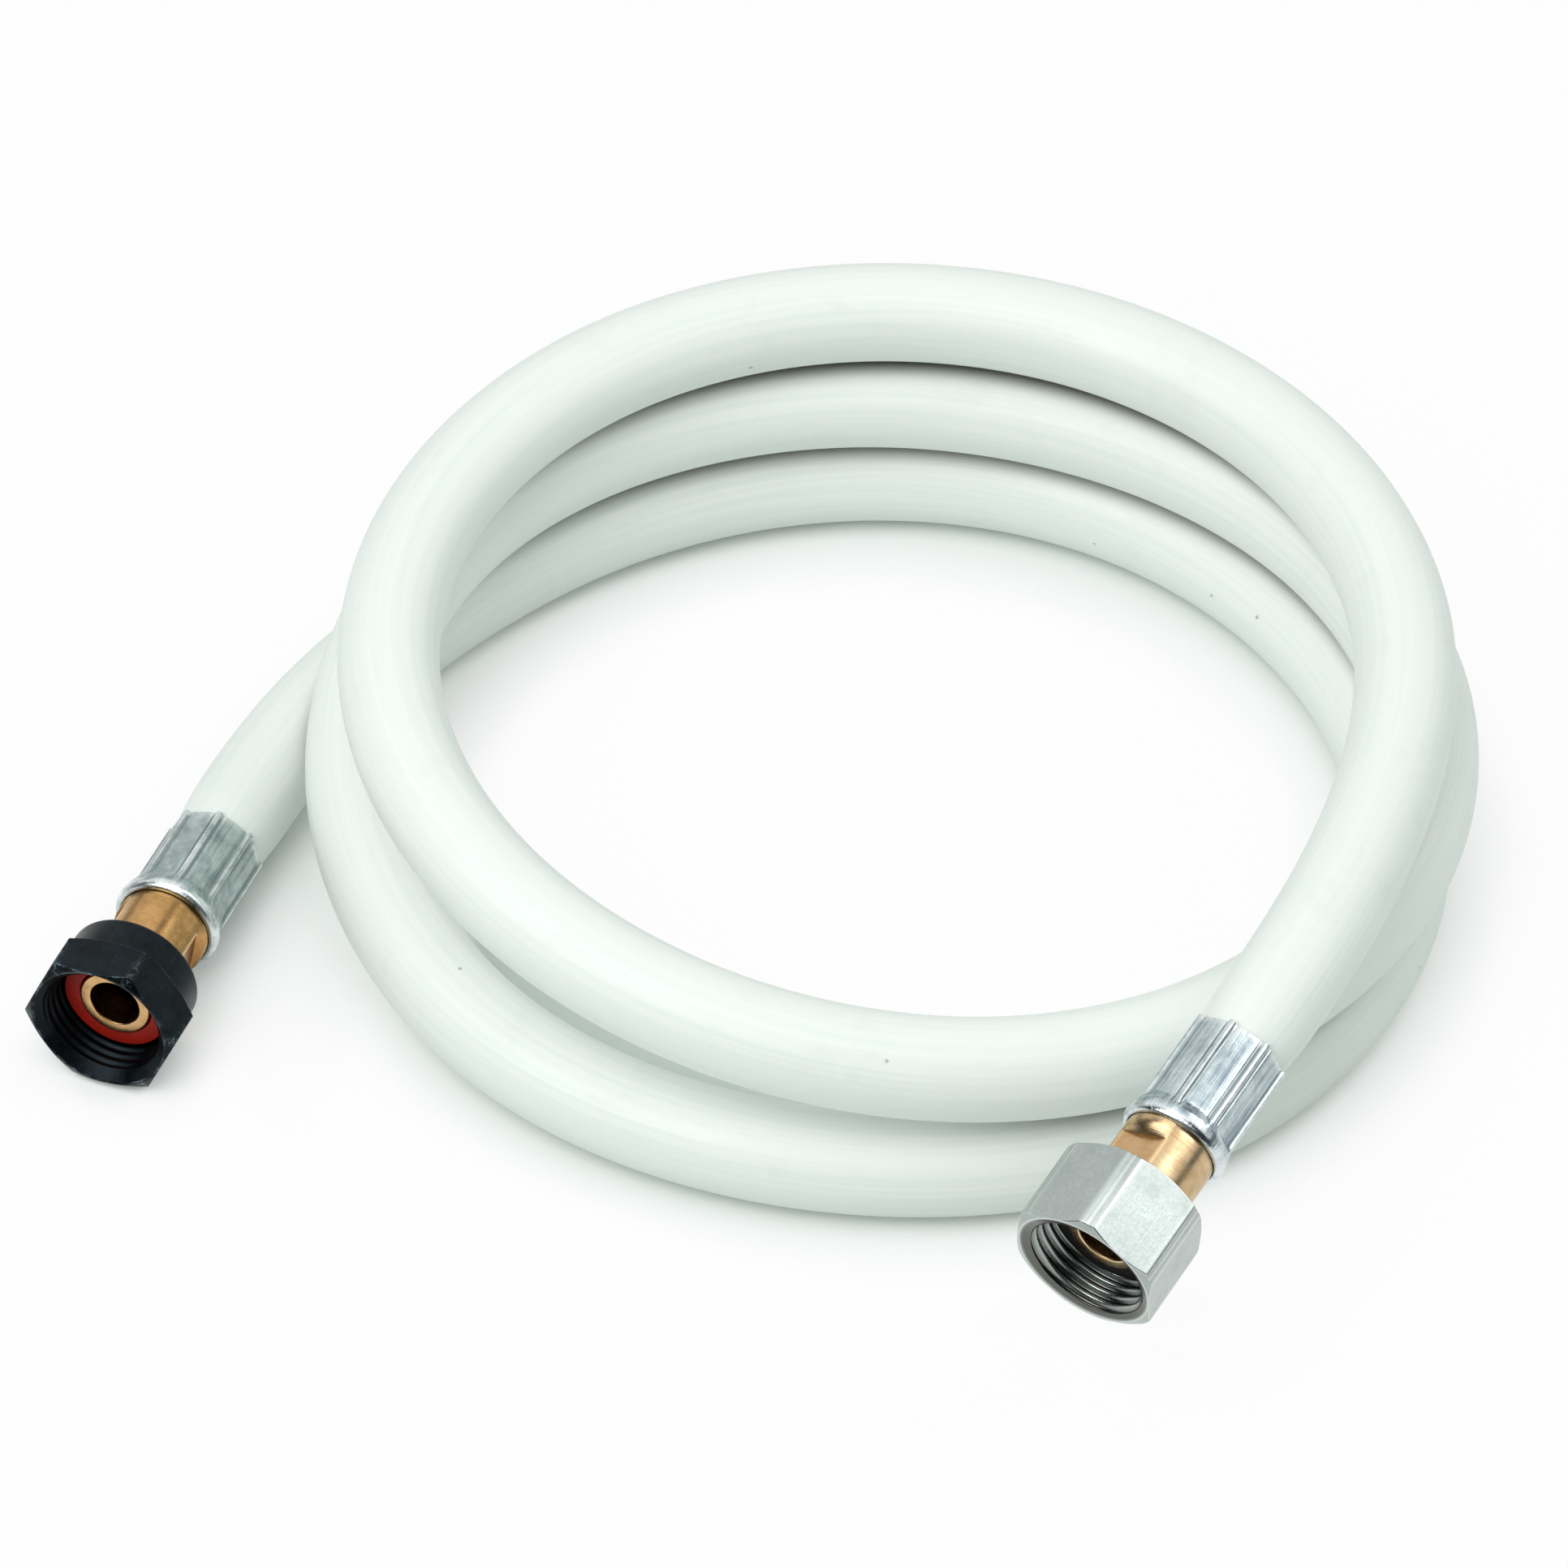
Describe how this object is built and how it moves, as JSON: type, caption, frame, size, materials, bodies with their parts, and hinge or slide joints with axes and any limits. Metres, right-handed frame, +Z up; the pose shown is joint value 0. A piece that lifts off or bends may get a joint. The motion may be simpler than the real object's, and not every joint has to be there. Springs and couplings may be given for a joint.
{
  "type": "low-pressure gas hose",
  "caption": "White rubber gas hose in a loose coil, with a crimped aluminium ferrule, a brass hose tail and a turning union nut on each end.",
  "frame": {"origin": "middle of the bounding box in X and Y, on the surface the coil lies on", "axes": "+Z up, out of the coil; both union nuts open roughly towards -Y, the black one on the -X side and the nickel one on the +X side; the coil's axis runs along Z"},
  "size_m": [0.2044, 0.2012, 0.0529],
  "materials": {
    "white_rubber": "smooth extruded white rubber, satin",
    "crimped_aluminium": "drawn aluminium, pressed in eight jaws",
    "turned_brass": "turned brass with milled spanner flats",
    "red_rubber": "moulded red rubber ring",
    "black_rubber": "moulded black rubber ring",
    "black_oxide_steel": "black oxide on turned steel",
    "nickel_plate": "nickel-plated steel, semi-bright"
  },
  "bodies": {
    "hose_and_fittings": {"hose": "white_rubber", "ferrule_black_end": "crimped_aluminium", "ferrule_nickel_end": "crimped_aluminium", "hose_tail_black_end": "turned_brass", "hose_tail_nickel_end": "turned_brass", "seal_red": "red_rubber", "seal_black": "black_rubber"},
    "black_nut": {"union_nut_black": "black_oxide_steel"},
    "nickel_nut": {"union_nut_nickel": "nickel_plate"}
  },
  "joints": [
    {"name": "black_nut_turn", "type": "hinge", "parent": "hose_and_fittings", "child": "black_nut", "pos_m": [-0.08889, -0.08735, 0.01237], "axis": [-0.0921, 0.9927, -0.0785], "continuous": true},
    {"name": "nickel_nut_turn", "type": "hinge", "parent": "hose_and_fittings", "child": "nickel_nut", "pos_m": [0.08698, -0.08079, 0.03576], "axis": [0.1137, 0.9826, 0.1469], "continuous": true}
  ]
}
